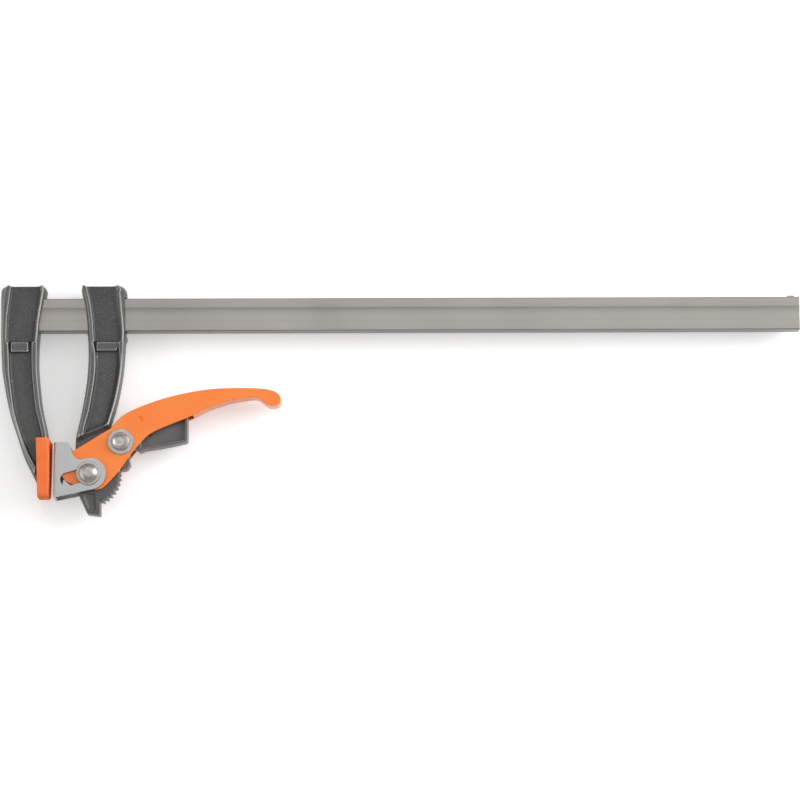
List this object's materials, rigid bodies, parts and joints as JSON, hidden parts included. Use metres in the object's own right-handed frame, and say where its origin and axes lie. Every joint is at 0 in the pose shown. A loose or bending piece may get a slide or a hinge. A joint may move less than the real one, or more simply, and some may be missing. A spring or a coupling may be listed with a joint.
{
  "type": "quick release bar clamp",
  "caption": "One-handed bar clamp: a fixed jaw on a grooved rail, a sliding arm with brake pins, and a ratchet lever whose cam pushes a pressure plate.",
  "frame": {"origin": "middle of the fixed jaw's clamping face, on the clamp's middle plane", "axes": "+X along the rail away from the fixed jaw, +Y from the jaws towards the rail, +Z across the clamp"},
  "size_m": [0.4807, 0.1395, 0.0262],
  "materials": {
    "rail_steel": "cold drawn, satin",
    "cast_arm": "dark grey powder coat",
    "pin_steel": "ground",
    "pad_plastic": "moulded, satin",
    "lever_enamel": "stove enamel",
    "trigger_casting": "satin grey coat",
    "spring_steel": "drawn wire",
    "zinc_plate": "bright zinc plate",
    "plate_zinc": "satin zinc plate"
  },
  "bodies": {
    "frame": {"rail": "rail_steel", "fixed_arm": "cast_arm", "fixed_arm_pins": "pin_steel", "fixed_jaw_pad": "pad_plastic"},
    "slider": {"sliding_arm": "cast_arm", "upper_brake_pin": "pin_steel", "lower_brake_pin": "pin_steel", "pivot_rivet": "zinc_plate", "slot_bush_front": "pin_steel", "slot_bush_back": "pin_steel", "pivot_washer_front": "zinc_plate", "pivot_washer_back": "zinc_plate"},
    "plate": {"pressure_plate": "plate_zinc"},
    "lever": {"lever": "lever_enamel", "trigger_rivet": "zinc_plate", "trigger_washer_front": "zinc_plate", "trigger_washer_back": "zinc_plate", "trigger_sleeve": "pin_steel", "trigger_spring": "spring_steel"},
    "trigger": {"trigger_pawl": "trigger_casting"}
  },
  "joints": [
    {"name": "arm_slide", "type": "slide", "parent": "frame", "child": "slider", "axis": [1, 0, 0], "range_m": [-0.0022, 0.3962]},
    {"name": "lever_turn", "type": "hinge", "parent": "slider", "child": "lever", "pos_m": [0.0233, -0.0036, 0], "axis": [0, 0, 1], "range_deg": [-70, 0]},
    {"name": "plate_slide", "type": "slide", "parent": "slider", "child": "plate", "axis": [0.9613, 0.2756, 0], "range_m": [0, 0.0103]},
    {"name": "trigger_squeeze", "type": "hinge", "parent": "lever", "child": "trigger", "pos_m": [0.0422, 0.0157, 0], "axis": [0, 0, 1], "range_deg": [0, 9], "stiffness_Nm_per_rad": 0.4, "springref_deg": -11.46, "deforming": ["trigger_spring"]}
  ],
  "couplings": [
    {"joint": "plate_slide", "follows": "lever_turn", "m_per_rad": -0.0083224}
  ]
}
